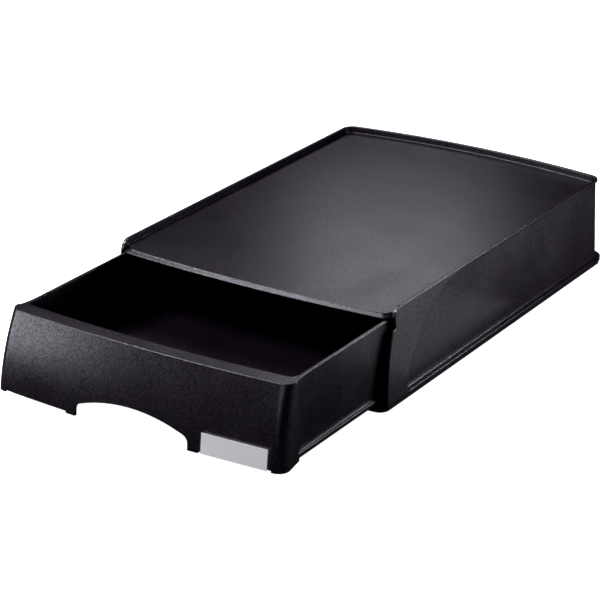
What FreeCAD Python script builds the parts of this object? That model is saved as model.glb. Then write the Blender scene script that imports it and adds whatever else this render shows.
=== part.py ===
import FreeCAD, Part
import math
import os
import Sketcher
from FreeCAD import Placement, Rotation, Vector

# Letter tray with drawer. X runs to the right, the front faces -Y and Z is up, in millimetres.
# The origin is on the floor, under the middle of the whole unit with its drawer open as shown.

SIZES = {
    # Housing, outside
    "origin_back": 92.73,       # from the origin forward to the housing's front corners
    "rim_width": 245.4,         # over the rim on top
    "house_flare": 4.8,         # how much further out each side stands at the foot
    "house_depth": 324.4,       # from corner to corner along the rim, without the bows
    "house_height": 73.4,       # from the lower edge to the rim
    "back_bow": 10.7,           # how far the back wall bows out in plan
    "back_corner": 9.9,         # plan radius of the rim's back corners
    "ledge_height": 5.6,
    "waist_foot_step": 4.0,     # how far the side panel stands back above the ledge
    "waist_head_step": 1.4,     # and below the rim
    "rim_band": 2.0,            # height of the band between the side panel and the rim's top
    "curve_front": 13.3,        # start of the side panel's curved edge, behind the front corner
    "curve_rise": 8.0,          # straight rise of that edge above the ledge
    "curve_run": 82.0,          # length of the curved edge, front to back
    "curve_radius": 96.0,
    # Housing, walls
    "side_wall": 2.0,
    "back_wall": 2.2,
    "jamb_wall": 1.3,           # side wall beside the drawer's front
    "step_wall": 2.3,           # wall between the side panel's curved edge and the room inside
    "jamb_notch": 7.0,          # straight upper end of the raked jamb
    "rim_height": 5.2,          # rim above the top panel
    "rim_wall": 2.3,
    "rim_round": 8.0,           # round of the rim's front ends
    "panel_thick": 2.2,
    # Housing, front lip
    "lip_reach": 8.3,           # how far the middle of the lip stands before the front corners
    "nose_run": 3.9,            # depth of the lip's sloping nose
    "nose_side_run": 2.7,       # and its width at each end
    "nose_step": 0.6,           # upright step between the nose and the panel's top
    "lip_corner": 5.0,
    "lip_gap": 1.4,             # between each end of the lip and the rim
    "lip_gap_back": 6.0,        # how far that gap reaches behind the front corners
    # Base frame and feet
    "base_thick": 2.6,
    "base_inset": 0.8,
    "foot_reach": 4.4,          # cross member before the foot of the drawer's front
    "base_corner": 8.0,
    "rail_width": 5.0,
    "window_half": 88.0,
    "window_front": 36.0,       # from the front corner plane to the first window
    "window_bar": 24.0,         # bar between the two windows
    "window_back": 34.0,
    "window_corner": 10.0,
    "foot_radius": 7.0,
    "foot_height": 2.0,
    "foot_stand": 1.0,          # how far the feet lift the base frame off the floor
    "foot_play": 0.2,
    "foot_side": 16.0,          # from the foot's middle to the side
    "foot_front_in": 16.0,
    "foot_back_in": 20.0,
    # Drawer tray
    "tray_play": 0.8,           # each side, between the tray and the narrowest inside
    "tray_drop": 0.4,           # upper edge of the tray below the front's
    "tray_wall": 2.2,
    "tray_floor": 2.0,
    "floor_lift": 6.8,          # underside of the tray's floor above its side walls' feet
    "tray_back_room": 5.4,      # between the back corner plane and the tray's back
    "tray_corner": 8.0,
    "flange_width": 2.0,
    "flange_thick": 3.4,
    "flare_out": 2.4,           # how far the side wall flares at its front end
    "flare_run": 18.0,
    "inside_round": 5.0,        # round of the inner corners beside the shelf
    "inside_tip": 0.7,          # blunt end of that round
    "run_play": 0.3,            # between the tray and the rails
    # Drawer front
    "lid_play": 0.6,            # between the front and the panel above it
    "front_lift": 6.2,          # lower edge of the front above the housing's lower edge
    "front_set": 1.2,           # upper edge of the front's corners behind the corner plane
    "front_rake": 16.1,         # how much further forward the lower edge is
    "front_crown": 2.9,         # bulge of the raked face at half height
    "front_bow": 5.2,           # bow of the face in plan
    "front_corner": 8.2,
    "front_play": 0.3,          # each side, between the front and the jambs
    "front_skin": 2.2,
    "return_depth": 9.0,        # side return behind the upper edge
    "return_lean": 4.7,         # how much further forward the return's rear edge is at its foot
    "return_rise": 2.6,         # and how far its lower edge rises towards the rear
    "shelf_step": 1.8,          # how far the shelf's middle stands before the returns' ends
    "arch_half": 49.3,
    "arch_height": 18.3,
    "arch_bow": 9.6,
    "arch_corner": 6.0,
    "notch_more": 3.8,          # how far the lower edge's notch goes on beside the label holder
    # Stops
    "catch_back": 86.0,
    "catch_length": 4.0,
    "catch_play": 0.4,
    "catch_gap": 0.9,           # catch above the runner flange
    "catch_height": 10.0,
    "lug_length": 6.0,
    "lug_play": 0.4,            # between the lug and the side wall
    # Label holder and card
    "label_side": 9.6,          # from the front's side to the holder
    "label_width": 54.6,
    "label_height": 17.2,
    "label_lift": 0.5,          # lower edge of the holder above the front's
    "label_thick": 3.0,
    "label_corner": 3.0,
    "label_edge": 0.8,          # over and under the card
    "label_end": 1.6,           # at the holder's closed end
    "label_face": 1.0,
    "label_slot": 1.0,
    "label_play": 0.2,
    "label_room": 1.2,          # from the skin's thickness to the hook behind it
    "hook_thick": 0.8,
    "hook_rise": 6.0,
    "card_thick": 0.4,
    # Pose
    "drawer_open": 132.0,       # how far the drawer stands open
}

doc = FreeCAD.newDocument("letter_tray_with_drawer")
sheet = doc.addObject("Spreadsheet::Sheet", "Sizes")
for row, (word, number) in enumerate(SIZES.items(), start=1):
    sheet.set(f"A{row}", word)
    sheet.set(f"B{row}", str(number))
    sheet.setAlias(f"B{row}", word)
doc.recompute()


class Size:
    """A length with its number now and the expression that keeps it tied to the sheet."""

    def __init__(self, number, text):
        self.number = number
        self.text = text

    def __add__(self, other):
        other = as_size(other)
        return Size(self.number + other.number, f"({self.text} + {other.text})")

    def __sub__(self, other):
        other = as_size(other)
        return Size(self.number - other.number, f"({self.text} - {other.text})")

    def __mul__(self, other):
        other = as_size(other)
        return Size(self.number * other.number, f"({self.text} * {other.text})")

    def __truediv__(self, other):
        other = as_size(other)
        return Size(self.number / other.number, f"({self.text} / {other.text})")

    def __neg__(self):
        return Size(-self.number, f"(-1 * {self.text})")

    def __radd__(self, other):
        return as_size(other) + self

    def __rsub__(self, other):
        return as_size(other) - self

    def __rmul__(self, other):
        return as_size(other) * self


def as_size(value):
    return value if isinstance(value, Size) else Size(float(value), repr(float(value)))


def root(value):
    return Size(math.sqrt(value.number), f"sqrt({value.text})")


def named(word):
    return Size(float(sheet.get(word)), f"Sizes.{word}")


def bow_radius(half, bow):
    """Radius of an arc that bows by bow over a chord of twice half."""
    return (half * half + bow * bow) / (2 * bow)


def bind(thing, prop, value):
    thing.setExpression(prop, as_size(value).text)


# Planes and heights that several pieces share

(rim_width, flare, house_depth, house_height) = map(
    named, ("rim_width", "house_flare", "house_depth", "house_height"))
front_plane = -named("origin_back")
back_plane = front_plane + house_depth
base_z = named("foot_stand")
base_top = base_z + named("base_thick")
rim_top = base_z + house_height
panel_top = rim_top - named("rim_height")
panel_under = panel_top - named("panel_thick")
ledge_top = base_z + named("ledge_height")
band_under = rim_top - named("rim_band")
rim_half = rim_width / 2
house_half = rim_half + flare
ROOM = 60.0                     # how far cutting solids reach past the piece

front_foot = base_z + named("front_lift")
front_top = panel_under - named("lid_play")
front_height = front_top - front_foot
front_foot_y = front_plane + named("front_set") - named("front_rake")
front_bow = named("front_bow")
tray_half = rim_half - named("waist_head_step") - named("side_wall") - named("tray_play")
tray_foot = front_foot
tray_top = front_top - named("tray_drop")
floor_under = tray_foot + named("floor_lift")
floor_top = floor_under + named("tray_floor")
tray_back = back_plane - named("tray_back_room")
return_back = front_plane + named("front_set") + named("return_depth")
catch_foot = tray_foot + named("flange_thick") + named("catch_gap")
catch_top = catch_foot + named("catch_height")
shelf_back = return_back - named("shelf_step")
inner_half = tray_half - named("tray_wall")
return_in = tray_half + named("flare_out")


def house_side(z):
    """Half width of the housing's tapering outside at height z."""
    return rim_half + flare * (rim_top - z) / (rim_top - ledge_top)


def inner_side(z):
    """Half width inside the housing behind the drawer's front."""
    head = rim_half - named("waist_head_step") - named("side_wall")
    foot = house_half - named("waist_foot_step") - named("side_wall")
    return head + (foot - head) * (panel_under - z) / (panel_under - ledge_top)


def front_side(z):
    """Half width of the drawer's front, which fits between the jambs."""
    return house_side(z) - named("jamb_wall") - named("front_play")


def front_face(z):
    """Y of the drawer front's face at height z, in the middle, with the drawer shut."""
    down = (front_top - z) / front_height
    rake = named("front_rake") * down
    crown = 4 * named("front_crown") * down * (1 - down)
    return front_plane + named("front_set") - front_bow - rake - crown


label_middle = front_side(front_foot) - named("label_side") - named("label_width") / 2


def shelf_line():
    """The shelf's rear edge in plan: radius of its bow, radius of the round at each end, the
    place where they meet and the round's other end."""
    bow = bow_radius(inner_half, front_bow)
    turn = named("inside_round") - named("inside_tip")
    meet_x = inner_half - named("inside_round")
    meet_y = shelf_back + bow - root(bow * bow - meet_x * meet_x)
    return bow, turn, (meet_x, meet_y), (meet_x + turn, meet_y + turn)


# Sketch helpers

FLAT = Rotation()
SIDE_VIEW = Rotation(Vector(1, 1, 1), 120)      # sketch X is +Y, sketch Y is +Z
FRONT_VIEW = Rotation(Vector(1, 0, 0), 90)      # sketch X is +X, sketch Y is +Z, normal -Y


def origin_plane(body, role):
    return next(f for f in body.Origin.OriginFeatures if f.Role == role)


def new_sketch(name, height=0.0, body=None, view=FLAT, role="XY_Plane"):
    """A sketch at a height: free in the document, or on one of its body's origin planes."""
    if body is None:
        sketch = doc.addObject("Sketcher::SketchObject", name)
        sketch.Placement = Placement(Vector(), view)
        bind(sketch, "Placement.Base.z", height)
        return sketch
    sketch = body.newObject("Sketcher::SketchObject", name)
    sketch.AttachmentSupport = [(origin_plane(body, role), "")]
    sketch.MapMode = "FlatFace"
    bind(sketch, "AttachmentOffset.Base.z", height)
    return sketch


def measure(sketch, kind, *where, value):
    """Adds a dimension and ties it to the sheet."""
    value = as_size(value)
    index = sketch.addConstraint(Sketcher.Constraint(kind, *where, value.number))
    bind(sketch, f"Constraints[{index}]", value)


def arc_edge(centre, radius, start, end):
    circle = Part.Circle(Vector(centre[0], centre[1], 0), Vector(0, 0, 1), radius)
    return Part.ArcOfCircle(circle, start, end)


def outline(sketch, half, low, high, low_bow=None, high_bow=None, low_corner=None, high_corner=None):
    """A closed outline with straight sides at -half and half. Its lower edge has its middle at
    low, its upper edge at high, both straight or bowed outwards, with sharp or rounded corners."""

    def end_geometry(sign, middle, bow, corner):
        """Edge and corner places of one end; sign is -1 at the low end and 1 at the high end."""
        width = half.number
        y = middle.number
        round_by = corner.number if corner is not None else 0.0
        if bow is None:
            touch = (width - round_by, y)
            side = (width, y - sign * round_by)
            return None, touch, side, (width - round_by, y - sign * round_by)
        big = bow_radius(half, bow).number
        centre_y = y - sign * big
        drop = math.sqrt((big - round_by) ** 2 - (width - round_by) ** 2)
        corner_y = centre_y + sign * drop
        scale = big / (big - round_by)
        touch = ((width - round_by) * scale, centre_y + sign * drop * scale)
        return (centre_y, big), touch, (width, corner_y), (width - round_by, corner_y)

    edges = []
    kinds = []
    arcs = {}
    lows = end_geometry(-1, low, low_bow, low_corner)
    highs = end_geometry(1, high, high_bow, high_corner)

    def add(tag, geometry, smooth_start, smooth_end):
        arcs[tag] = len(edges)
        edges.append(geometry)
        kinds.append((smooth_start, smooth_end))

    def add_end(tag, sign, bow, corner, places):
        big, touch, side, centre = places
        smooth = corner is not None
        left, right = (-touch[0], touch[1]), touch
        first, last = (left, right) if sign < 0 else (right, left)
        if bow is None:
            add(tag, Part.LineSegment(Vector(*first, 0), Vector(*last, 0)), smooth, smooth)
            return
        turn = math.atan2(right[0], abs(right[1] - big[0]))
        middle_angle = sign * math.pi / 2
        add(tag, arc_edge((0, big[0]), big[1], middle_angle - turn, middle_angle + turn), smooth, smooth)

    def add_corner(tag, places, corner, x_sign, start, end):
        if corner is None:
            return
        centre = places[3]
        add(tag, arc_edge((x_sign * centre[0], centre[1]), corner.number, start, end), True, True)

    def touch_angle(places):
        big, touch, side, centre = places
        return math.atan2(touch[1] - centre[1], touch[0] - centre[0])

    add_end("low", -1, low_bow, low_corner, lows)
    if low_corner is not None:
        add_corner("low right", lows, low_corner, 1, touch_angle(lows), 0.0)
    add("right", Part.LineSegment(Vector(*lows[2], 0), Vector(*highs[2], 0)),
        low_corner is not None, high_corner is not None)
    if high_corner is not None:
        add_corner("high right", highs, high_corner, 1, 0.0, touch_angle(highs))
    add_end("high", 1, high_bow, high_corner, highs)
    if high_corner is not None:
        add_corner("high left", highs, high_corner, -1, math.pi - touch_angle(highs), math.pi)
    add("left", Part.LineSegment(Vector(-highs[2][0], highs[2][1], 0), Vector(-lows[2][0], lows[2][1], 0)),
        high_corner is not None, low_corner is not None)
    if low_corner is not None:
        add_corner("low left", lows, low_corner, -1, math.pi, math.pi - touch_angle(lows))

    sketch.addGeometry(edges, False)
    for index in range(len(edges)):
        after = (index + 1) % len(edges)
        smooth = kinds[index][1] and kinds[after][0]
        sketch.addConstraint(Sketcher.Constraint("Tangent" if smooth else "Coincident", index, 2, after, 1))
    sketch.addConstraint(Sketcher.Constraint("Vertical", arcs["right"]))
    sketch.addConstraint(Sketcher.Constraint("Vertical", arcs["left"]))
    measure(sketch, "DistanceX", -1, 1, arcs["right"], 1, value=half)
    measure(sketch, "DistanceX", arcs["left"], 1, -1, 1, value=half)
    for tag, sign, middle, bow, corner in (("low", -1, low, low_bow, low_corner),
                                           ("high", 1, high, high_bow, high_corner)):
        if bow is None:
            sketch.addConstraint(Sketcher.Constraint("Horizontal", arcs[tag]))
            measure(sketch, "DistanceY", -1, 1, arcs[tag], 1, value=middle)
        else:
            radius = bow_radius(half, bow)
            sketch.addConstraint(Sketcher.Constraint("PointOnObject", arcs[tag], 3, -2))
            measure(sketch, "Radius", arcs[tag], value=radius)
            measure(sketch, "DistanceY", -1, 1, arcs[tag], 3, value=middle - sign * radius)
        if corner is not None:
            measure(sketch, "Radius", arcs[tag + " right"], value=corner)
            measure(sketch, "Radius", arcs[tag + " left"], value=corner)
    return sketch


def profile(sketch, steps):
    """A closed profile through the given corners. A step is (x, y), reached by a straight line,
    or (x, y, radius, turn), reached by an arc: turn is 1 where it runs anticlockwise, else -1."""
    corners = [(as_size(step[0]), as_size(step[1])) for step in steps]
    ends = []
    for index, step in enumerate(steps):
        before = corners[index - 1]
        here = corners[index]
        a = Vector(before[0].number, before[1].number, 0)
        b = Vector(here[0].number, here[1].number, 0)
        if len(step) == 2:
            sketch.addGeometry(Part.LineSegment(a, b), False)
            ends.append((1, 2))
            continue
        radius, turn = step[2], step[3]
        chord = b - a
        offset = math.sqrt(radius.number ** 2 - (chord.Length / 2) ** 2)
        centre = (a + b) / 2 + Vector(-chord.y, chord.x, 0) / chord.Length * offset * turn
        first, last = (a, b) if turn > 0 else (b, a)
        start = math.atan2(first.y - centre.y, first.x - centre.x)
        end = math.atan2(last.y - centre.y, last.x - centre.x)
        sketch.addGeometry(arc_edge((centre.x, centre.y), radius.number, start, end), False)
        ends.append((1, 2) if turn > 0 else (2, 1))
    for index, step in enumerate(steps):
        after = (index + 1) % len(steps)
        sketch.addConstraint(Sketcher.Constraint("Coincident", index, ends[index][1], after, ends[after][0]))
        measure(sketch, "DistanceX", -1, 1, index, ends[index][1], value=corners[index][0])
        measure(sketch, "DistanceY", -1, 1, index, ends[index][1], value=corners[index][1])
        if len(step) == 4:
            measure(sketch, "Radius", index, value=step[2])
    return sketch


def rectangle(sketch, x_low, y_low, x_high, y_high):
    """One more rectangle in a sketch, with each side tied to the sheet."""
    count = sketch.GeometryCount
    xs = [as_size(x_low), as_size(x_high)]
    ys = [as_size(y_low), as_size(y_high)]
    corners = [(0, 0), (1, 0), (1, 1), (0, 1)]
    points = [Vector(xs[i].number, ys[j].number, 0) for i, j in corners]
    sketch.addGeometry([Part.LineSegment(points[k], points[(k + 1) % 4]) for k in range(4)], False)
    for k in range(4):
        sketch.addConstraint(Sketcher.Constraint("Coincident", count + k, 2, count + (k + 1) % 4, 1))
        kind = "Horizontal" if k % 2 == 0 else "Vertical"
        sketch.addConstraint(Sketcher.Constraint(kind, count + k))
    measure(sketch, "DistanceX", -1, 1, count, 1, value=xs[0])
    measure(sketch, "DistanceX", -1, 1, count + 1, 1, value=xs[1])
    measure(sketch, "DistanceY", -1, 1, count, 1, value=ys[0])
    measure(sketch, "DistanceY", -1, 1, count + 2, 1, value=ys[1])
    return sketch


# Solid helpers

def loft(name, sections, ruled=True):
    solid = doc.addObject("Part::Loft", name)
    solid.Sections = sections
    solid.Solid = True
    solid.Ruled = ruled
    return solid


def extrusion(name, sketch, length, both_ways=False):
    solid = doc.addObject("Part::Extrusion", name)
    solid.Base = sketch
    solid.DirMode = "Normal"
    solid.Solid = True
    solid.Symmetric = both_ways
    bind(solid, "LengthFwd", length)
    return solid


def cut(name, base, tool):
    solid = doc.addObject("Part::Cut", name)
    solid.Base = base
    solid.Tool = tool
    return solid


def common(name, *shapes):
    solid = doc.addObject("Part::MultiCommon", name)
    solid.Shapes = list(shapes)
    return solid


def fuse(name, *shapes):
    solid = doc.addObject("Part::MultiFuse", name)
    solid.Shapes = list(shapes)
    solid.Refine = True
    return solid


def box(name, x, y, z, length, width, height):
    """A block from its low corner and its three sides."""
    solid = doc.addObject("Part::Box", name)
    for prop, value in (("Length", length), ("Width", width), ("Height", height),
                        ("Placement.Base.x", x), ("Placement.Base.y", y), ("Placement.Base.z", z)):
        bind(solid, prop, value)
    return solid


def across(name, sketch):
    """A side-view profile carried right across the part."""
    return extrusion(name, sketch, 2 * (house_half + ROOM), both_ways=True)


def pad(body, sketch, length):
    feature = body.newObject("PartDesign::Pad", sketch.Name + "_pad")
    feature.Profile = sketch
    bind(feature, "Length", length)
    return feature


def pocket(body, sketch, length, upwards=False):
    feature = body.newObject("PartDesign::Pocket", sketch.Name + "_pocket")
    feature.Profile = sketch
    feature.Reversed = upwards
    bind(feature, "Length", length)
    return feature


def front_plan(name, z, back, inset=0.0):
    """Plan outline of the drawer's front at height z, drawn in by inset."""
    sketch = new_sketch(name, z)
    return outline(sketch, front_side(z) - inset, front_face(z) + inset, back,
                   low_bow=front_bow, low_corner=named("front_corner") - inset)


# Housing shell

def make_housing_shell():
    straight_front = front_plane - ROOM
    back_bow = named("back_bow")
    back_corner = named("back_corner")
    foot_step = named("waist_foot_step")
    head_step = named("waist_head_step")
    side_wall = named("side_wall")
    back_wall = named("back_wall")

    def house_plan(name, z, inset, back_inset):
        """Plan outline at height z: inset is measured from the rim's outline."""
        sketch = new_sketch(name, z)
        return outline(sketch, rim_half - inset, straight_front, back_plane + back_bow - back_inset,
                       high_bow=back_bow, high_corner=back_corner - inset)

    block = loft("house_block", [
        house_plan("house_foot_plan", base_top, -flare, -flare),
        house_plan("house_ledge_plan", ledge_top, -flare, -flare),
        house_plan("house_rim_plan", rim_top, 0 * flare, 0 * flare)])

    # The side panel stands back behind a curved edge, between the ledge and the rim band.
    curve_start = front_plane + named("curve_front")
    curve_foot = ledge_top + named("curve_rise")
    curve_end = curve_start + named("curve_run")
    curve_radius = named("curve_radius")
    waist_sketch = profile(new_sketch("waist_side", view=SIDE_VIEW), [
        (back_plane + ROOM, ledge_top),
        (back_plane + ROOM, band_under),
        (curve_end, band_under),
        (curve_start, curve_foot, curve_radius, 1),
        (curve_start, ledge_top)])
    waist_body = loft("waist_body", [
        house_plan("waist_foot_plan", ledge_top, foot_step - flare, foot_step - flare),
        house_plan("waist_head_plan", band_under, head_step, head_step)])
    waist_ring = cut("waist_ring", across("waist_region", waist_sketch), waist_body)

    # The inside follows the side panel, and widens before its curved edge for the drawer's front.
    narrow = loft("inside_narrow", [
        house_plan("inside_floor_plan", base_z - 1, foot_step + side_wall - flare, foot_step + back_wall - flare),
        house_plan("inside_ledge_plan", ledge_top, foot_step + side_wall - flare, foot_step + back_wall - flare),
        house_plan("inside_head_plan", panel_under, head_step + side_wall, head_step + back_wall)])

    def wide_plan(name, z, side):
        return outline(new_sketch(name, z), side - named("jamb_wall"), straight_front, curve_end + ROOM)

    wide = loft("inside_wide", [
        wide_plan("wide_floor_plan", base_z - 1, house_half),
        wide_plan("wide_ledge_plan", ledge_top, house_half),
        wide_plan("wide_head_plan", panel_under, house_side(panel_under))])
    before = named("step_wall")
    wide_sketch = profile(new_sketch("wide_side", view=SIDE_VIEW), [
        (straight_front, base_z - 2),
        (curve_start - before, base_z - 2),
        (curve_start - before, curve_foot),
        (curve_end - before, band_under, curve_radius, -1),
        (straight_front, band_under)])
    wide = common("inside_front", wide, across("wide_region", wide_sketch))

    # The side walls end at the front in the same raked curve as the drawer's front, then go
    # straight up and end in a round at the rim's top.
    rim_inside = rim_half - named("rim_wall")
    rim_round = named("rim_round")
    rake = named("front_rake")
    chord = root(rake * rake + front_height * front_height)
    rake_radius = bow_radius(chord / 2, named("front_crown"))
    front_top_y = front_plane + named("front_set")
    reach = root(rake_radius * rake_radius - chord * chord / 4) / chord
    centre_y = (front_foot_y + front_top_y) / 2 + front_height * reach
    centre_z = (front_foot + front_top) / 2 - rake * reach
    notch_foot = front_top - named("jamb_notch")
    lift = notch_foot - centre_z
    notch_y = centre_y - root(rake_radius * rake_radius - lift * lift)
    jamb_sketch = profile(new_sketch("jamb_side", view=SIDE_VIEW), [
        (straight_front - ROOM, base_z - 2),
        (front_foot_y, base_z - 2),
        (front_foot_y, front_foot),
        (notch_y, notch_foot, rake_radius, -1),
        (front_top_y, notch_foot),
        (front_top_y, rim_top - rim_round),
        (front_top_y + rim_round, rim_top, rim_round, -1),
        (front_top_y + rim_round, rim_top + 5),
        (straight_front - ROOM, rim_top + 5)])
    between = box("between_rims", -rim_inside, straight_front - 2 * ROOM, panel_under,
                  2 * rim_inside, 4 * ROOM, rim_top + 10 - panel_under)
    side_ends = cut("side_ends", across("side_end_region", jamb_sketch), between)

    # The lip slopes down before the panel, with corners rounded in plan and a gap at each end.
    lip_half = rim_inside - named("lip_gap")

    def lip_plan(name, z, set_back, draw_in):
        sketch = new_sketch(name, z)
        return outline(sketch, lip_half - draw_in, front_plane - named("lip_reach") + set_back,
                       front_plane + ROOM, low_bow=front_bow, low_corner=named("lip_corner"))

    nose_run = named("nose_run")
    nose_side_run = named("nose_side_run")
    lip = loft("lip_block", [
        lip_plan("lip_low_plan", panel_under, 0 * rake, 0 * rake),
        lip_plan("lip_high_plan", panel_top - named("nose_step"), nose_run, nose_side_run),
        lip_plan("lip_over_plan", rim_top + 1, nose_run, nose_side_run)])
    lip_box = box("lip_box", -rim_inside, straight_front - ROOM, panel_under, 2 * rim_inside,
                  front_plane + named("lip_gap_back") - straight_front + ROOM, rim_top + 1 - panel_under)
    lip_ring = cut("lip_ring", lip_box, lip)

    # The top is a shallow tray.
    top_plan = new_sketch("top_plan", panel_top)
    outline(top_plan, rim_inside, straight_front,
            back_plane + back_bow - named("rim_wall"),
            high_bow=back_bow, high_corner=back_corner - named("rim_wall"))
    top_hollow = extrusion("top_hollow", top_plan, named("rim_height") + 1)

    shell = cut("shell_ends", block, side_ends)
    shell = cut("shell_waist", shell, waist_ring)
    shell = cut("shell_inside", shell, narrow)
    shell = cut("shell_wide", shell, wide)
    shell = cut("shell_lip", shell, lip_ring)
    shell = cut("shell_top", shell, top_hollow)

    # A catch on each inner side stops the drawer's lug.
    catch_in = tray_half + named("catch_play")
    catch_out = inner_side(catch_foot) + side_wall / 2
    catches = []
    for side, x in (("left", -catch_out), ("right", catch_in)):
        catches.append(box(f"catch_{side}", x, front_plane + named("catch_back"), catch_foot,
                           catch_out - catch_in, named("catch_length"), named("catch_height")))
    return fuse("housing_shell", shell, *catches)


# Base frame and its feet

def foot_places():
    """Middles of the four feet by name."""
    x = house_half - named("foot_side")
    y_front = front_plane + named("foot_front_in")
    y_back = back_plane - named("foot_back_in")
    return {"front_left": (-x, y_front), "front_right": (x, y_front),
            "rear_left": (-x, y_back), "rear_right": (x, y_back)}


def make_base_frame():
    body = doc.addObject("PartDesign::Body", "base_frame")
    inset = named("base_inset")
    front_middle = front_foot_y - front_bow - named("foot_reach")
    back_middle = back_plane + named("back_bow") + flare - inset
    plan = outline(new_sketch("base_plan", base_z, body), house_half - inset, front_middle, back_middle,
                   low_bow=front_bow, high_bow=named("back_bow"), low_corner=named("base_corner"),
                   high_corner=named("back_corner") + flare - inset)
    pad(body, plan, named("base_thick"))

    rails = new_sketch("rail_plan", base_top, body)
    rail_out = tray_half + named("flange_width")
    rail_in = rail_out - named("rail_width")
    rail_front = front_plane + named("foot_front_in")
    rail_back = tray_back - named("tray_corner")
    rectangle(rails, rail_in, rail_front, rail_out, rail_back)
    rectangle(rails, -rail_out, rail_front, -rail_in, rail_back)
    pad(body, rails, tray_foot - named("run_play") - base_top)

    window_front = front_plane + named("window_front")
    window_back = back_plane - named("window_back")
    bar_half = named("window_bar") / 2
    middle = (window_front + window_back) / 2
    for name, low, high in (("front_window", window_front, middle - bar_half),
                            ("back_window", middle + bar_half, window_back)):
        window = outline(new_sketch(name, base_top, body), named("window_half"), low, high,
                         low_corner=named("window_corner"), high_corner=named("window_corner"))
        pocket(body, window, named("base_thick"))

    seats = new_sketch("foot_seats", base_z, body)
    seat_radius = named("foot_radius") + named("foot_play")
    for x, y in foot_places().values():
        circle = Part.Circle(Vector(x.number, y.number, 0), Vector(0, 0, 1), seat_radius.number)
        index = seats.addGeometry(circle, False)
        measure(seats, "Radius", index, value=seat_radius)
        measure(seats, "DistanceX", -1, 1, index, 3, value=x)
        measure(seats, "DistanceY", -1, 1, index, 3, value=y)
    pocket(body, seats, named("foot_height") - base_z, upwards=True)
    return body


def make_foot(where, x, y):
    body = doc.addObject("PartDesign::Body", f"foot_{where}")
    sketch = new_sketch(f"foot_{where}_plan", 0.0, body)
    index = sketch.addGeometry(Part.Circle(Vector(), Vector(0, 0, 1), named("foot_radius").number), False)
    sketch.addConstraint(Sketcher.Constraint("Coincident", index, 3, -1, 1))
    measure(sketch, "Radius", index, value=named("foot_radius"))
    pad(body, sketch, named("foot_height"))
    bind(body, "Placement.Base.x", x)
    bind(body, "Placement.Base.y", y)
    return body


# Drawer tray, built shut

def make_drawer_tray():
    body = doc.addObject("PartDesign::Body", "drawer_tray")
    flare_out = named("flare_out")
    flare_run = named("flare_run")
    flare_radius = (flare_run * flare_run + flare_out * flare_out) / (2 * flare_out)
    flare_back = return_back + flare_run
    corner = named("tray_corner")
    bow, turn, meet, tip = shelf_line()
    plan = profile(new_sketch("tray_plan", tray_foot, body), [
        (-inner_half, tip[1]),
        (-tip[0], tip[1]),
        (-meet[0], meet[1], turn, 1),
        (meet[0], meet[1], bow, 1),
        (tip[0], tip[1], turn, 1),
        (inner_half, tip[1]),
        (inner_half, return_back),
        (return_in, return_back),
        (tray_half, flare_back, flare_radius, -1),
        (tray_half, tray_back - corner),
        (tray_half - corner, tray_back, corner, 1),
        (-(tray_half - corner), tray_back),
        (-tray_half, tray_back - corner, corner, 1),
        (-tray_half, flare_back),
        (-return_in, return_back, flare_radius, -1),
        (-inner_half, return_back)])
    pad(body, plan, tray_top - tray_foot)
    for name, z, depth, upwards in (("tray_inside", tray_top, tray_top - floor_top, False),
                                    ("tray_underside", tray_foot, floor_under - tray_foot, True)):
        inside = outline(new_sketch(name, z, body), inner_half, front_plane - ROOM,
                         tray_back - named("tray_wall"), high_corner=corner - named("tray_wall"))
        pocket(body, inside, depth, upwards=upwards)

    flange = new_sketch("flange_plan", tray_foot, body)
    flange_out = tray_half + named("flange_width")
    root_x = tray_half - named("tray_wall") / 2
    rectangle(flange, root_x, return_back, flange_out, tray_back - corner)
    rectangle(flange, -flange_out, return_back, -root_x, tray_back - corner)
    pad(body, flange, named("flange_thick"))

    lugs = new_sketch("lug_plan", catch_foot, body)
    lug_out = inner_side(catch_top) - named("lug_play")
    lug_back = tray_back - corner
    rectangle(lugs, root_x, lug_back - named("lug_length"), lug_out, lug_back)
    rectangle(lugs, -lug_out, lug_back - named("lug_length"), -root_x, lug_back)
    pad(body, lugs, named("catch_height"))
    return body


# Drawer front, built shut: a hollow shell, open below, with a shelf, side returns and a finger arch

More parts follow.
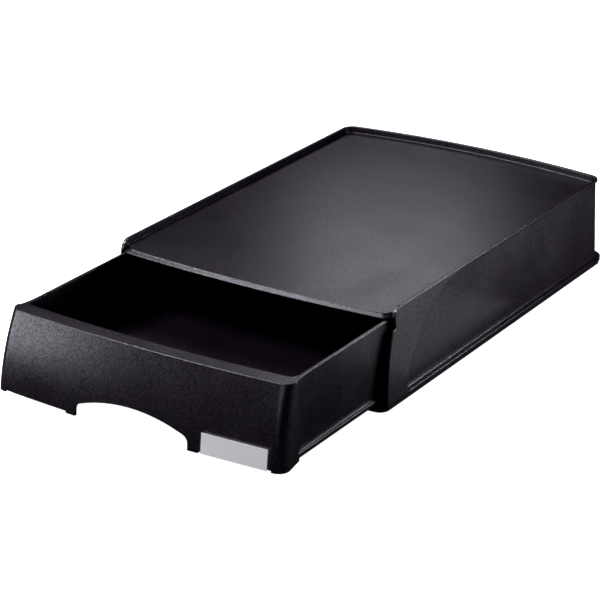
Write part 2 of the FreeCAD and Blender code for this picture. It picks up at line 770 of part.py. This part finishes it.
def make_drawer_front():
    skin = named("front_skin")
    def front_loft(name, top, foot, back, inset):
        heights = [top - (top - foot) * step / 4 for step in range(5)]
        return loft(name, [front_plan(f"{name}_plan_{k}", z, back, inset) for k, z in enumerate(heights)],
                    ruled=False)

    outer = front_loft("front_outer", front_top, front_foot, return_back + ROOM / 2, 0 * skin)
    inner = front_loft("front_inner", front_top - skin, front_foot - 1, return_back + ROOM / 2, skin)
    bow, turn, meet, tip = shelf_line()
    region = profile(new_sketch("front_region", front_foot - 1), [
        (-house_half, front_plane - ROOM),
        (house_half, front_plane - ROOM),
        (house_half, return_back),
        (inner_half, return_back),
        (inner_half, tip[1]),
        (tip[0], tip[1]),
        (meet[0], meet[1], turn, -1),
        (-meet[0], meet[1], bow, -1),
        (-tip[0], tip[1], turn, -1),
        (-inner_half, tip[1]),
        (-inner_half, return_back),
        (-house_half, return_back)])
    front = common("front_solid", outer, extrusion("front_reach", region, front_height + 2))

    # The hollow leaves the rear wall, and more of it at the ends, where the returns lean.
    lean = named("return_lean")
    rear = return_back - skin
    end_in = return_in - skin
    hollow_region = profile(new_sketch("hollow_region", front_foot - 2), [
        (-house_half, front_plane - ROOM),
        (house_half, front_plane - ROOM),
        (house_half, rear - lean),
        (end_in, rear - lean),
        (end_in, rear),
        (inner_half, rear),
        (-inner_half, rear, bow_radius(inner_half, named("shelf_step")), -1),
        (-end_in, rear),
        (-end_in, rear - lean),
        (-house_half, rear - lean)])
    hollow = common("front_hollow", inner, extrusion("hollow_reach", hollow_region, front_height + 3))

    # The rear wall ends at the tray's raised floor, and the returns' rear ends lean.
    wall_foot = box("rear_wall_foot", -inner_half, front_plane, front_foot - 1,
                    2 * inner_half, ROOM, 1 + floor_under - front_foot)
    return_sketch = profile(new_sketch("return_side", view=SIDE_VIEW), [
        (return_back + 5, front_top + 1),
        (return_back, front_top + 1),
        (return_back - lean, front_foot + named("return_rise")),
        (front_foot_y + named("front_corner"), front_foot),
        (front_foot_y + named("front_corner"), front_foot - 2),
        (return_back + 5, front_foot - 2)])
    between = box("between_returns", -return_in, front_plane - 2 * ROOM, front_foot - 3,
                  2 * return_in, 4 * ROOM, front_height + 6)
    return_ends = cut("return_ends", across("return_region", return_sketch), between)

    arch_sketch = new_sketch("arch_front", view=FRONT_VIEW)
    arch_low = front_foot - 10
    outline(arch_sketch, named("arch_half"), arch_low, front_foot + named("arch_height"),
            high_bow=named("arch_bow"), high_corner=named("arch_corner"))
    bind(arch_sketch, "Placement.Base.y", shelf_back - 2.5 * skin)
    arch = extrusion("finger_arch", arch_sketch, ROOM)

    # The holder's hook passes below the skin in a notch, and the other side has the same seat.
    notch_in = label_middle - named("label_width") / 2 - named("notch_more")
    notch_out = label_middle + named("label_width") / 2 + named("label_play")
    notches = []
    for side, x in (("left", -notch_out), ("right", notch_in)):
        notches.append(box(f"label_notch_{side}", x, front_plane - ROOM, front_foot - 1,
                           notch_out - notch_in, ROOM - named("front_corner"),
                           1 + named("label_lift") + named("hook_thick") + named("label_play")))
    front = cut("front_hollowed", front, hollow)
    front = cut("front_arched", front, arch)
    front = cut("front_open_behind", front, wall_foot)
    front = cut("front_returns", front, return_ends)
    return cut("drawer_front", front, fuse("label_notches", *notches))


# Label holder and its card

def label_placement():
    """The holder's back lies against the raked and bowed face, with the drawer as shown."""
    x = label_middle.number
    reach = named("label_height").number / 2
    middle = front_foot.number + named("label_lift").number + reach
    radius = bow_radius(front_side(as_size(middle)), front_bow).number
    drop = radius - math.sqrt(radius ** 2 - x ** 2)
    slope = (front_face(as_size(middle + 1)).number - front_face(as_size(middle - 1)).number) / 2
    lean = math.atan(slope)
    touch = Vector(x, front_face(as_size(middle)).number + drop - named("drawer_open").number, middle)
    swing = math.asin(x / radius)
    turn = Rotation(Vector(0, 0, 1), math.degrees(swing)) * Rotation(Vector(1, 0, 0), -math.degrees(lean))
    return Placement(touch + turn.multVec(Vector(0, -named("label_play").number, -reach)), turn)


def make_label_window():
    """The holder in its own frame: its back on the plane Y = 0, its width along X."""
    body = doc.addObject("PartDesign::Body", "label_window")
    half = named("label_width") / 2
    thick = named("label_thick")
    height = named("label_height")
    edge = named("label_edge")
    end = named("label_end")
    hook = named("hook_thick")
    skin_room = named("front_skin") + named("label_room")

    plate = new_sketch("window_plate", 0.0, body, role="XZ_Plane")
    outline(plate, half, 0 * height, height, high_corner=named("label_corner"))
    pad(body, plate, thick)

    hook_floor = new_sketch("hook_floor", 0.0, body)
    rectangle(hook_floor, -half, -thick / 2, half, skin_room + hook)
    pad(body, hook_floor, hook)
    hook_wall = new_sketch("hook_wall", 0.0, body)
    rectangle(hook_wall, -half, skin_room, half, skin_room + hook)
    pad(body, hook_wall, named("hook_rise"))

    slot = new_sketch("card_slot", edge, body)
    slot_front = named("label_face") - thick
    rectangle(slot, -half - 1, slot_front, half - end, slot_front + named("label_slot"))
    pocket(body, slot, height - 2 * edge, upwards=True)
    return body


def make_label_card():
    edge = named("label_edge")
    play = named("label_play")
    card = doc.addObject("Part::Box", "label_card")
    bind(card, "Length", named("label_width") - named("label_end") - play)
    bind(card, "Width", named("card_thick"))
    bind(card, "Height", named("label_height") - 2 * edge - 2 * play)
    return card


def card_placement():
    """The card stands in the middle of the holder's slot."""
    edge = named("label_edge").number
    play = named("label_play").number
    slot_middle = named("label_face").number - named("label_thick").number + named("label_slot").number / 2
    low = Vector(-named("label_width").number / 2, slot_middle - named("card_thick").number / 2, edge + play)
    return label_placement() * Placement(low, Rotation())


# The whole part

housing = [make_housing_shell(), make_base_frame()]
housing += [make_foot(where, x, y) for where, (x, y) in foot_places().items()]
drawer = [make_drawer_tray(), make_drawer_front()]
for piece in drawer:
    bind(piece, "Placement.Base.y", -named("drawer_open"))
window = make_label_window()
window.Placement = label_placement()
card = make_label_card()
card.Placement = card_placement()
pieces = housing + drawer + [window, card]
doc.recompute()

for thing in doc.Objects:
    if "Invalid" in thing.State or "Error" in thing.State:
        raise SystemExit(f"{thing.Name} failed: {thing.State}")
os.makedirs("parts", exist_ok=True)
for piece in pieces:
    shape = piece.Shape
    if shape.isNull() or not shape.isValid() or not shape.Solids:
        raise SystemExit(f"{piece.Name} has no valid solid")
    piece.Label = piece.Name
    shape.exportStep(f"parts/{piece.Label}.step")
    box_now = shape.BoundBox
    print(piece.Label, len(shape.Solids), round(shape.Volume), [round(v, 1) for v in (
        box_now.XMin, box_now.YMin, box_now.ZMin, box_now.XMax, box_now.YMax, box_now.ZMax)])
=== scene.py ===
import math
import bpy
from mathutils import Matrix, Vector

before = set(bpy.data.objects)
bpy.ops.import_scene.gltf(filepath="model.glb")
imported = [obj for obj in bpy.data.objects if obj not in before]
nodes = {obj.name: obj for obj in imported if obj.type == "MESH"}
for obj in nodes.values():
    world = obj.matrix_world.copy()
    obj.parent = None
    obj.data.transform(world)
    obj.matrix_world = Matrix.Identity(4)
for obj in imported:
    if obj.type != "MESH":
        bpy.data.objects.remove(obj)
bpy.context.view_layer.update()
scene = bpy.context.scene


# Shader helpers

def new_material(name):
    material = bpy.data.materials.new(name)
    material.use_nodes = True
    material.node_tree.nodes.clear()
    return material, material.node_tree


def add(tree, kind, inputs=None, **settings):
    """A shader node with its settings, and its inputs given by name as values or sockets."""
    node = tree.nodes.new(kind)
    for key, value in settings.items():
        setattr(node, key, value)
    for key, value in (inputs or {}).items():
        if isinstance(value, bpy.types.NodeSocket):
            tree.links.new(value, node.inputs[key])
        else:
            node.inputs[key].default_value = value
    return node


def ramp(tree, factor, *stops):
    """Blends between colours or greys given as (position, value)."""
    node = add(tree, "ShaderNodeValToRGB", {"Fac": factor})
    stops = [(place, value if isinstance(value, tuple) else (value,) * 3) for place, value in stops]
    elements = node.color_ramp.elements
    while len(elements) < len(stops):
        elements.new(0.5)
    for element, (place, value) in zip(elements, stops):
        element.position = place
        element.color = (*value, 1)
    return node.outputs["Color"]


def spread(tree, value, source, target):
    """Carries a value from one range, given as (low, high), to another."""
    node = add(tree, "ShaderNodeMapRange", {
        "Value": value, "From Min": source[0], "From Max": source[1],
        "To Min": target[0], "To Max": target[1]})
    return node.outputs["Result"]


def finish_tree(tree, shader, kind="ShaderNodeOutputMaterial"):
    output = add(tree, kind)
    tree.links.new(shader.outputs[0], output.inputs["Surface"])


def camera_or_light(tree, for_camera, for_light):
    """One shader for what the camera sees of a backdrop, another for the light that it gives."""
    seen = add(tree, "ShaderNodeLightPath").outputs["Is Camera Ray"]
    return add(tree, "ShaderNodeMixShader", {0: seen, 1: for_light.outputs[0], 2: for_camera.outputs[0]})


# Materials: lengths in metres, and texture scales in steps per metre

PLASTIC_DARK = (0.0020, 0.0006, 0.0028)
PLASTIC_LIGHT = (0.006, 0.0030, 0.0075)
PLASTIC_IOR = 1.5
PLASTIC_EDGE = 0.001
HOUSING_ROUGHNESS = (0.28, 0.36)
DRAWER_ROUGHNESS = (0.26, 0.34)
CLOUD_SCALE = 22.0
GRAIN_SCALE = 620.0
GRAIN_BUMP = 0.5
GRAIN_DEPTH = 0.0002
GRAIN_SPARKLE = (0.3, 0.7)
SPECK_SCALE = 1300.0
SPECK_SHARE = 0.35

DUST_SCALE = 600.0
DUST_DEPTH = 0.0003
RUBBER_DARK = (0.018, 0.018, 0.019)
RUBBER_LIGHT = (0.05, 0.05, 0.052)

HOLDER_COLOUR = (0.78, 0.78, 0.80, 1)
HOLDER_ALPHA = 0.04
HOLDER_IOR = 1.49
HOLDER_EDGE = 0.0003
WAVE_SCALE = 60.0
WAVE_DEPTH = 0.0005

CARD_DARK = (0.86, 0.86, 0.85)
CARD_LIGHT = (0.94, 0.94, 0.93)
FIBRE_SCALE = 900.0
FIBRE_DEPTH = 0.0001


def moulded_plastic(name, roughness):
    """Spark-eroded moulded plastic: a grain that sparkles, cloudy gloss and softly rounded edges."""
    material, tree = new_material(name)
    place = add(tree, "ShaderNodeTexCoord").outputs["Object"]
    clouds = add(tree, "ShaderNodeTexNoise", {
        "Vector": place, "Scale": CLOUD_SCALE, "Detail": 4.0, "Roughness": 0.6}).outputs["Fac"]
    grains = add(tree, "ShaderNodeTexNoise", {
        "Vector": place, "Scale": GRAIN_SCALE, "Detail": 2.0, "Roughness": 0.7}).outputs["Fac"]
    specks = add(tree, "ShaderNodeTexVoronoi", {
        "Vector": place, "Scale": SPECK_SCALE}).outputs["Distance"]
    soft_edge = add(tree, "ShaderNodeBevel", {"Radius": PLASTIC_EDGE}, samples=8)
    low_specks = add(tree, "ShaderNodeMath", {0: specks, 1: SPECK_SHARE}, operation="MULTIPLY")
    heights = add(tree, "ShaderNodeMath", {0: grains, 1: low_specks.outputs[0]}, operation="ADD")
    bump = add(tree, "ShaderNodeBump", {
        "Strength": GRAIN_BUMP, "Distance": GRAIN_DEPTH, "Height": heights.outputs[0],
        "Normal": soft_edge.outputs["Normal"]})
    shader = add(tree, "ShaderNodeBsdfPrincipled", {
        "Base Color": ramp(tree, grains, (0.38, PLASTIC_DARK), (0.64, PLASTIC_LIGHT)),
        "Roughness": spread(tree, clouds, (0.3, 0.7), roughness),
        "Specular IOR Level": spread(tree, grains, (0.35, 0.65), GRAIN_SPARKLE),
        "IOR": PLASTIC_IOR,
        "Normal": bump.outputs["Normal"]})
    finish_tree(tree, shader)
    return material


def rubber():
    """Dull dark rubber with a little dust."""
    material, tree = new_material("foot_rubber")
    place = add(tree, "ShaderNodeTexCoord").outputs["Object"]
    dust = add(tree, "ShaderNodeTexNoise", {
        "Vector": place, "Scale": DUST_SCALE, "Detail": 5.0}).outputs["Fac"]
    bump = add(tree, "ShaderNodeBump", {"Strength": 0.3, "Distance": DUST_DEPTH, "Height": dust})
    shader = add(tree, "ShaderNodeBsdfPrincipled", {
        "Base Color": ramp(tree, dust, (0.4, RUBBER_DARK), (0.75, RUBBER_LIGHT)),
        "Roughness": 0.85,
        "Normal": bump.outputs["Normal"]})
    finish_tree(tree, shader)
    return material


def clear_plastic():
    """Thin clear plastic, nearly all see-through."""
    material, tree = new_material("clear_plastic")
    place = add(tree, "ShaderNodeTexCoord").outputs["Object"]
    waves = add(tree, "ShaderNodeTexNoise", {
        "Vector": place, "Scale": WAVE_SCALE, "Detail": 2.0}).outputs["Fac"]
    soft_edge = add(tree, "ShaderNodeBevel", {"Radius": HOLDER_EDGE}, samples=6)
    bump = add(tree, "ShaderNodeBump", {
        "Strength": 0.05, "Distance": WAVE_DEPTH, "Height": waves,
        "Normal": soft_edge.outputs["Normal"]})
    shader = add(tree, "ShaderNodeBsdfPrincipled", {
        "Base Color": HOLDER_COLOUR,
        "Roughness": ramp(tree, waves, (0.3, 0.06), (0.7, 0.14)),
        "Alpha": HOLDER_ALPHA,
        "IOR": HOLDER_IOR,
        "Normal": bump.outputs["Normal"]})
    finish_tree(tree, shader)
    return material


def card_stock():
    """White card with a fine fibre."""
    material, tree = new_material("card_stock")
    place = add(tree, "ShaderNodeTexCoord").outputs["Object"]
    fibres = add(tree, "ShaderNodeTexNoise", {
        "Vector": place, "Scale": FIBRE_SCALE, "Detail": 6.0, "Distortion": 0.6}).outputs["Fac"]
    bump = add(tree, "ShaderNodeBump", {"Strength": 0.2, "Distance": FIBRE_DEPTH, "Height": fibres})
    shader = add(tree, "ShaderNodeBsdfPrincipled", {
        "Base Color": ramp(tree, fibres, (0.3, CARD_DARK), (0.7, CARD_LIGHT)),
        "Roughness": 0.75,
        "Normal": bump.outputs["Normal"]})
    finish_tree(tree, shader)
    return material


def give(material, *names):
    for name in names:
        mesh = nodes[name].data
        mesh.materials.clear()
        mesh.materials.append(material)


give(moulded_plastic("housing_plastic", HOUSING_ROUGHNESS), "housing_shell", "base_frame")
give(moulded_plastic("drawer_plastic", DRAWER_ROUGHNESS), "drawer_tray", "drawer_front")
give(rubber(), "foot_front_left", "foot_front_right", "foot_rear_left", "foot_rear_right")
give(clear_plastic(), "label_window")
give(card_stock(), "label_card")


# Camera, from the photograph's vanishing lines: degrees, metres, and the lens and sensor in millimetres

CAMERA_TURN = 33.75
CAMERA_RISE = 23.23
CAMERA_ROLL = -0.35
CAMERA_DISTANCE = 1.75565
CAMERA_SIDE = 0.02021
CAMERA_UP = 0.02247
LENS = 135.66
SENSOR_WIDTH = 36.0
NEAREST_SEEN = 0.05
TARGET = Vector((0.0, 0.00727, 0.0419))

turn = math.radians(CAMERA_TURN)
rise = math.radians(CAMERA_RISE)
roll = math.radians(CAMERA_ROLL)
back = Vector((math.sin(turn) * math.cos(rise), -math.cos(turn) * math.cos(rise), math.sin(rise)))
right = (-back).cross(Vector((0, 0, 1))).normalized()
up = right.cross(-back)
rolled_right = right * math.cos(roll) + up * math.sin(roll)
rolled_up = -right * math.sin(roll) + up * math.cos(roll)
position = TARGET - rolled_right * CAMERA_SIDE - rolled_up * CAMERA_UP + back * CAMERA_DISTANCE

camera_data = bpy.data.cameras.new("photo_camera")
camera_data.sensor_width = SENSOR_WIDTH
camera_data.lens = LENS
camera_data.clip_start = NEAREST_SEEN
camera = bpy.data.objects.new("photo_camera", camera_data)
turned = Matrix((rolled_right, rolled_up, back)).transposed().to_4x4()
camera.matrix_world = Matrix.Translation(position) @ turned
scene.collection.objects.link(camera)
scene.camera = camera


# Floor and surroundings: white to the camera, nearly black to the light

WHITE = (1, 1, 1, 1)
FLOOR_REACH = 8.0
FLOOR_COLOUR = (0.93, 0.93, 0.93, 1)
FLOOR_REFLECTED = (0.033, 0.033, 0.035, 1)
WORLD_TINT = (1.0, 0.97, 1, 1)
WORLD_STRENGTH = 0.005

corners = [(x * FLOOR_REACH, y * FLOOR_REACH, 0) for x, y in ((-1, -1), (1, -1), (1, 1), (-1, 1))]
floor_mesh = bpy.data.meshes.new("floor")
floor_mesh.from_pydata(corners, [], [(0, 1, 2, 3)])
floor = bpy.data.objects.new("floor", floor_mesh)
scene.collection.objects.link(floor)
floor_material, floor_tree = new_material("pale_floor")
pale = add(floor_tree, "ShaderNodeBsdfPrincipled", {
    "Base Color": FLOOR_COLOUR, "Roughness": 0.9, "Emission Color": WHITE, "Emission Strength": 1.0})
quiet = add(floor_tree, "ShaderNodeBsdfDiffuse", {"Color": FLOOR_REFLECTED})
finish_tree(floor_tree, camera_or_light(floor_tree, pale, quiet))
floor_mesh.materials.append(floor_material)

world = bpy.data.worlds.new("studio")
scene.world = world
world.use_nodes = True
world_tree = world.node_tree
world_tree.nodes.clear()
shown = add(world_tree, "ShaderNodeBackground", {"Color": WHITE, "Strength": 1.0})
lit = add(world_tree, "ShaderNodeBackground", {"Color": WORLD_TINT, "Strength": WORLD_STRENGTH})
finish_tree(world_tree, camera_or_light(world_tree, shown, lit), "ShaderNodeOutputWorld")


# Soft lights: metres and watts

LIGHT_TINT = (1.0, 0.965, 1.07)
UNIT_MIDDLE = (0, 0, 0.05)
RIM_FRONT_END = (0.127, -0.10, 0.073)
ABOVE_RIGHT_SIDE = (0.19, 0.03, 0.505)


def softbox(name, offset, wide, high, power, target=UNIT_MIDDLE):
    """A soft light at an offset from its target, facing it."""
    light = bpy.data.lights.new(name, "AREA")
    light.shape = "RECTANGLE"
    light.size = wide
    light.size_y = high
    light.energy = power
    light.color = LIGHT_TINT
    lamp = bpy.data.objects.new(name, light)
    lamp.location = Vector(target) + Vector(offset)
    lamp.rotation_euler = Vector(offset).to_track_quat("Z", "Y").to_euler()
    lamp.visible_camera = False
    scene.collection.objects.link(lamp)


softbox("panel_light", (-0.3, 0.6, 0.4), 0.22, 0.22, 0.39)
softbox("shelf_light", (-0.3, 0.1, 0.55), 0.25, 0.25, 1.55)
softbox("front_light", (-0.6, -0.6, 0.1), 0.25, 0.25, 1.38)
softbox("far_front_light", (-1.4, -1.4, 0.5), 0.6, 0.6, 1.2)
softbox("right_side_light", (1.0, 0.1, 0.35), 0.4, 0.4, 0.5)
softbox("corner_light", (0.15, -1.3, 0.55), 0.6, 0.6, 1.9)
softbox("high_left_light", (-0.769, -0.588, 1.146), 0.4, 0.4, 24.0)
softbox("low_back_light", (0.322, 0.382, 0.01), 0.2, 0.08, 2.0, RIM_FRONT_END)
softbox("bounce_light", (0, 0, -0.5), 0.10, 0.16, 0.017, ABOVE_RIGHT_SIDE)

scene.view_settings.view_transform = "Standard"
